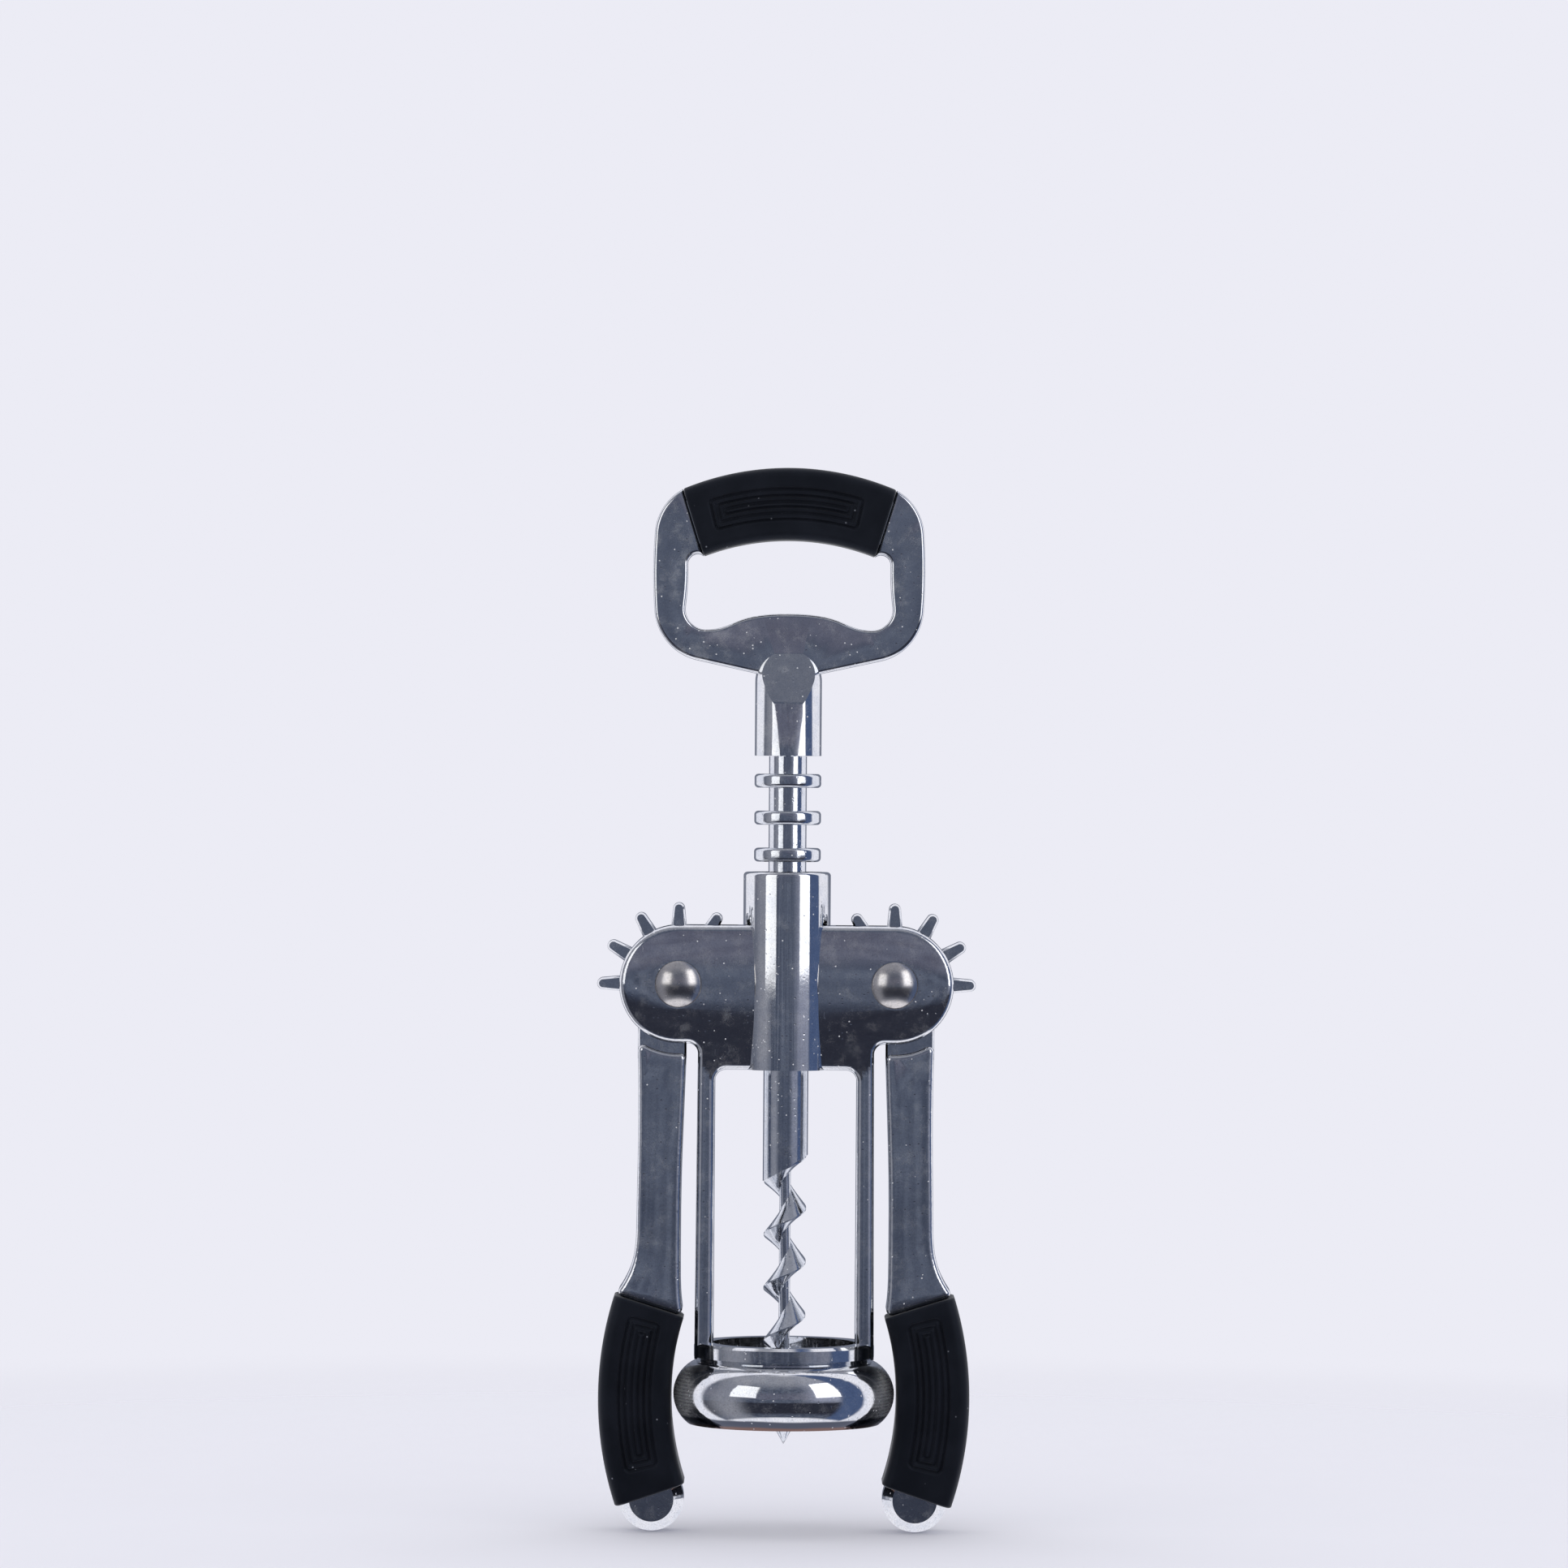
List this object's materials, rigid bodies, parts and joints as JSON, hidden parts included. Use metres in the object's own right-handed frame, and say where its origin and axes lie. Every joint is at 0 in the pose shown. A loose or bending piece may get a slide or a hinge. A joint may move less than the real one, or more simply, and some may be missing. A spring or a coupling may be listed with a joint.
{
  "type": "lever corkscrew",
  "caption": "Winged corkscrew: bell on two legs, ringed rack and worm raised by a pair of toothed levers, loop handle that lifts caps.",
  "frame": {"origin": "centre of the bell's bottom rim, on the worm's axis", "axes": "+Z along the worm towards the handle, +X towards the right wing, -Y to the front, where the rivets' domed heads are"},
  "size_m": [0.068, 0.0396, 0.1909],
  "materials": {
    "polished_chrome": "bright chrome over polished die cast zinc",
    "cast_chrome": "chrome over rough cast zinc",
    "plated_steel": "bright plated steel with a fine speckle",
    "nickel_rivet": "satin nickel",
    "black_rubber": "matte moulded rubber"
  },
  "bodies": {
    "frame": {"frame_casting": "polished_chrome", "left_rivet": "nickel_rivet", "right_rivet": "nickel_rivet"},
    "rack": {"ringed_rack": "cast_chrome"},
    "handle": {"handle_casting": "polished_chrome", "handle_grip": "black_rubber", "worm": "plated_steel", "worm_pin": "plated_steel"},
    "left_wing": {"left_lever": "polished_chrome", "left_lever_grip": "black_rubber"},
    "right_wing": {"right_lever": "polished_chrome", "right_lever_grip": "black_rubber"}
  },
  "joints": [
    {"name": "left_wing_pivot", "type": "hinge", "parent": "frame", "child": "left_wing", "pos_m": [-0.0194, 0, 0.0789], "axis": [0, 1, 0], "range_deg": [0, 155]},
    {"name": "right_wing_pivot", "type": "hinge", "parent": "frame", "child": "right_wing", "pos_m": [0.0194, 0, 0.0789], "axis": [0, -1, 0], "range_deg": [0, 155]},
    {"name": "rack_slide", "type": "slide", "parent": "frame", "child": "rack", "axis": [0, 0, -1], "range_m": [0, 0.03438]},
    {"name": "handle_turn", "type": "hinge", "parent": "rack", "child": "handle", "pos_m": [0, 0, 0.12], "axis": [0, 0, 1], "continuous": true}
  ],
  "couplings": [
    {"joint": "right_wing_pivot", "follows": "left_wing_pivot", "ratio": 1},
    {"joint": "rack_slide", "follows": "left_wing_pivot", "m_per_rad": 0.012701}
  ]
}
